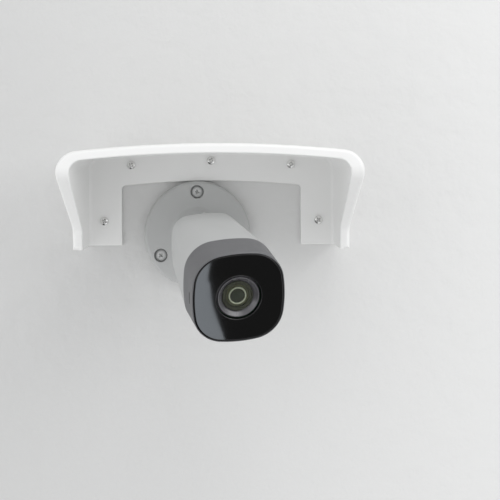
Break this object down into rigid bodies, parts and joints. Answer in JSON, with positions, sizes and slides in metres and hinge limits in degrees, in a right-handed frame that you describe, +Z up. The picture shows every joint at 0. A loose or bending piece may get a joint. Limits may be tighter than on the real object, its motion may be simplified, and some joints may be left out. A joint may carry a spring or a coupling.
{
  "type": "wall-mounted bullet security camera with a weather hood",
  "caption": "Wall-mounted mini bullet security camera on a pan, tilt and roll bracket, under a moulded weather hood that is screwed to the wall around the camera's round base.",
  "frame": {"origin": "centre of the camera's round base on the wall plane", "axes": "+Y into the wall, so the object stands out towards -Y; +Z up; +X to the right of someone who faces the wall"},
  "size_m": [0.1928, 0.1783, 0.1255],
  "materials": {
    "hood_white": "smooth white weather-proof plastic, soft gloss",
    "camera_white": "satin white paint over moulded plastic",
    "screw_steel": "plain zinc-plated steel",
    "screw_painted": "steel screws painted with the base",
    "inner_plastic": "black moulded plastic",
    "rubber": "black rubber",
    "nut_brass": "turned brass",
    "bezel_grey": "dark grey satin plastic",
    "window_black": "polished black acrylic",
    "shroud_grey": "light grey moulded plastic",
    "lens_black": "black anodised finish, matt",
    "lens_glass": "coated glass",
    "ring_aluminium": "bright turned aluminium",
    "board_green": "green solder mask",
    "led_clear": "clear tinted resin",
    "pillar_brass": "turned brass",
    "chip_black": "black moulded package",
    "sink_aluminium": "plain extruded aluminium",
    "socket_plastic": "natural moulded plastic"
  },
  "bodies": {
    "root": {"hood_shell": "hood_white", "hood_screws": "screw_steel", "base_plate": "camera_white", "base_screws": "screw_painted"},
    "swivel": {"swivel_fork": "camera_white", "swivel_retainer": "inner_plastic", "cable_grommet": "rubber", "pivot_screws": "screw_steel"},
    "knuckle": {"tilt_knuckle": "camera_white", "neck_nut": "nut_brass"},
    "camera": {"body_shell": "camera_white", "body_seal": "rubber", "front_bezel": "bezel_grey", "window_seal": "rubber", "front_window": "window_black", "lens_shroud": "shroud_grey", "lens_barrel": "lens_black", "front_lens": "lens_glass", "lens_ring": "ring_aluminium", "inner_lens": "lens_glass", "rear_lens": "lens_glass", "chassis_plate": "inner_plastic", "led_board": "board_green", "infrared_leds": "led_clear", "front_pillars": "pillar_brass", "sensor_board": "board_green", "lens_holder": "lens_black", "image_sensor": "chip_black", "rear_pillars": "pillar_brass", "main_board": "board_green", "board_screws": "screw_steel", "processor": "chip_black", "heat_sink": "sink_aluminium", "wire_socket": "socket_plastic"}
  },
  "joints": [
    {"name": "pan", "type": "hinge", "parent": "root", "child": "swivel", "pos_m": [0, 0, 0], "axis": [0, 1, 0], "range_deg": [-11.6, 78.4]},
    {"name": "tilt", "type": "hinge", "parent": "swivel", "child": "knuckle", "pos_m": [0, -0.0382, 0], "axis": [0.8348, 0, 0.5505], "range_deg": [-25, 55]},
    {"name": "roll", "type": "hinge", "parent": "knuckle", "child": "camera", "pos_m": [0, -0.0382, 0], "axis": [0.2326, -0.9063, -0.3528], "range_deg": [-180, 180]}
  ]
}
